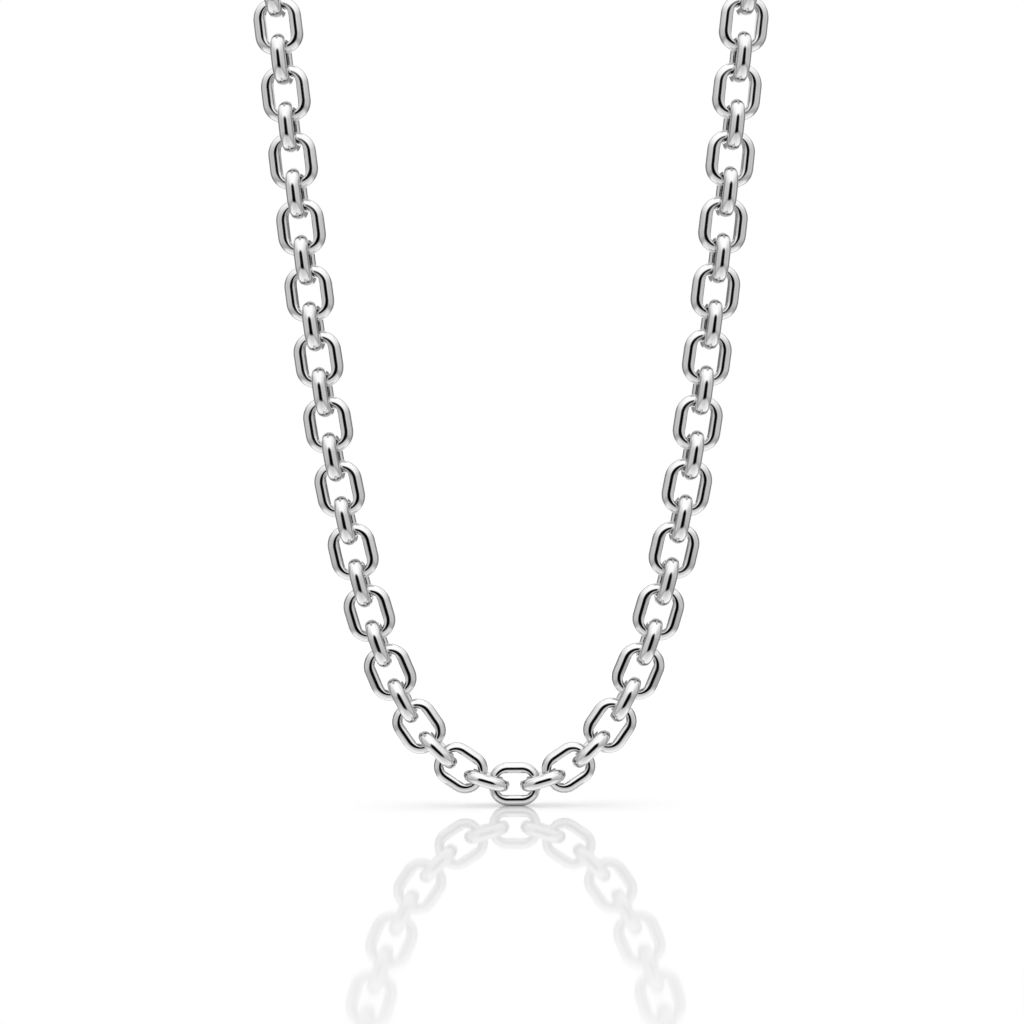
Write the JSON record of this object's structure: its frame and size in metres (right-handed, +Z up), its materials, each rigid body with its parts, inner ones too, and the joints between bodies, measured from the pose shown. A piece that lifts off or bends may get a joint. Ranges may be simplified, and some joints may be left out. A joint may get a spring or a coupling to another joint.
{
  "type": "cable chain necklace",
  "caption": "Closed necklace of chunky interlocked cable links in polished silver, hanging in a U in front and closed by a small plain clasp at the nape.",
  "frame": {"origin": "middle of the clasp's inner face, where the necklace rests on the nape", "axes": "+Z up along the long way of the hanging loop, -Y to the front, +X to the viewer's right"},
  "size_m": [0.1148, 0.1119, 0.2061],
  "materials": {
    "polished_silver": "high polish with fine wear",
    "clasp_silver": "polished, slightly softer"
  },
  "bodies": {
    "root": {"chain_left": "polished_silver", "chain_right": "polished_silver", "clasp": "clasp_silver"}
  },
  "joints": []
}
